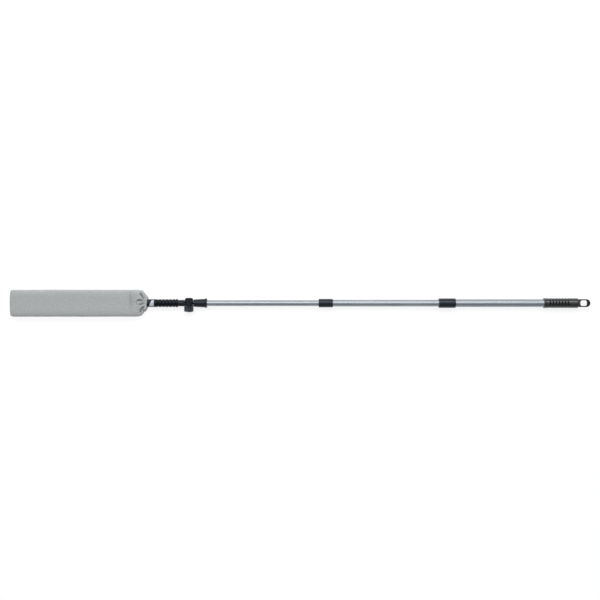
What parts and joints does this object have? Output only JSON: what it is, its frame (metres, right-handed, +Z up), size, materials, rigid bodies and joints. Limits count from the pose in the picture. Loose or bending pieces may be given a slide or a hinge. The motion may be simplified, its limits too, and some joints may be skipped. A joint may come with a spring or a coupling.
{
  "type": "telescopic flat duster",
  "caption": "Flat padded duster in a washable fabric sleeve, on an angle joint with a clamp knob and a telescopic pole with twist-lock collars and a hanging loop.",
  "frame": {"origin": "on the surface it lies on, under the middle of the extended duster, with the pole's axis 16.8 mm above", "axes": "+X along the pole towards the grip, +Z up, out of the blade's flat face, and -Y towards the clamp knob"},
  "size_m": [1.903, 0.0886, 0.0336],
  "materials": {
    "microfibre": "short looped pile, matt",
    "hem": "folded and gathered hem",
    "elastic": "braided elastic",
    "foam": "open-cell foam",
    "blade_plastic": "springy polypropylene",
    "black_plastic": "fine spark-eroded moulding",
    "knob_plastic": "satin glass-filled nylon",
    "soft_grip": "soft overmould",
    "grip_plastic": "semi-gloss moulding",
    "collar_plastic": "semi-gloss moulding",
    "label_film": "blank printed film",
    "friction_lining": "pressed lining",
    "anodised": "satin anodised, drawn",
    "bush_plastic": "natural acetal",
    "zinc_steel": "bright zinc plate",
    "brass": "knurled insert"
  },
  "bodies": {
    "outer_pole": {"tube_large": "anodised", "collet_rear": "collar_plastic", "pole_grip": "grip_plastic", "hang_cap": "grip_plastic"},
    "rear_nut": {"lock_nut_rear": "collar_plastic"},
    "middle_guide": {"middle_bush": "bush_plastic"},
    "middle_pole": {"tube_middle": "anodised", "collet_front": "collar_plastic"},
    "front_nut": {"lock_nut_front": "collar_plastic"},
    "small_guide": {"small_bush": "bush_plastic"},
    "small_pole": {"tube_small": "anodised", "tip_plug": "black_plastic", "joint_fork": "black_plastic", "hinge_cap": "black_plastic", "hinge_bolt": "zinc_steel"},
    "clamp_plate": {"clamp_washer": "zinc_steel"},
    "knob": {"clamp_knob": "knob_plastic", "knob_insert": "brass"},
    "head": {"joint_tongue": "black_plastic", "friction_discs": "friction_lining", "handle_body": "black_plastic", "handle_grip": "soft_grip", "handle_label": "label_film", "blade_rivets": "zinc_steel", "core_blade": "blade_plastic", "foam_pad_top": "foam", "foam_pad_bottom": "foam"},
    "sleeve_bag": {"sleeve": "microfibre", "sleeve_cuff": "hem", "cuff_elastic": "elastic"}
  },
  "joints": [
    {"name": "rear_lock", "type": "hinge", "parent": "outer_pole", "child": "rear_nut", "pos_m": [0.476, 0, 0.0168], "axis": [1, 0, 0], "range_deg": [0, 90]},
    {"name": "middle_slide", "type": "slide", "parent": "outer_pole", "child": "middle_guide", "axis": [1, 0, 0], "range_m": [0, 0.345]},
    {"name": "middle_spin", "type": "hinge", "parent": "middle_guide", "child": "middle_pole", "pos_m": [0.54, 0, 0.0168], "axis": [1, 0, 0], "continuous": true},
    {"name": "front_lock", "type": "hinge", "parent": "middle_pole", "child": "front_nut", "pos_m": [0.08, 0, 0.0168], "axis": [1, 0, 0], "range_deg": [0, 90]},
    {"name": "small_slide", "type": "slide", "parent": "middle_pole", "child": "small_guide", "axis": [1, 0, 0], "range_m": [0, 0.365]},
    {"name": "small_spin", "type": "hinge", "parent": "small_guide", "child": "small_pole", "pos_m": [0.145, 0, 0.0168], "axis": [1, 0, 0], "continuous": true},
    {"name": "head_tilt", "type": "hinge", "parent": "small_pole", "child": "head", "pos_m": [-0.364, 0, 0.0168], "axis": [0, 1, 0], "range_deg": [-90, 90]},
    {"name": "clamp_travel", "type": "slide", "parent": "small_pole", "child": "clamp_plate", "axis": [0, -1, 0], "range_m": [0, 0.002]},
    {"name": "knob_turn", "type": "hinge", "parent": "clamp_plate", "child": "knob", "pos_m": [-0.364, -0.02, 0.0168], "axis": [0, -1, 0], "range_deg": [0, 720]},
    {"name": "sleeve_pull", "type": "slide", "parent": "head", "child": "sleeve_bag", "axis": [-1, 0, 0], "range_m": [0, 0.46], "deforming": ["sleeve_cuff", "cuff_elastic"]}
  ],
  "couplings": [
    {"joint": "knob_turn", "follows": "clamp_travel", "rad_per_m": 6283}
  ]
}
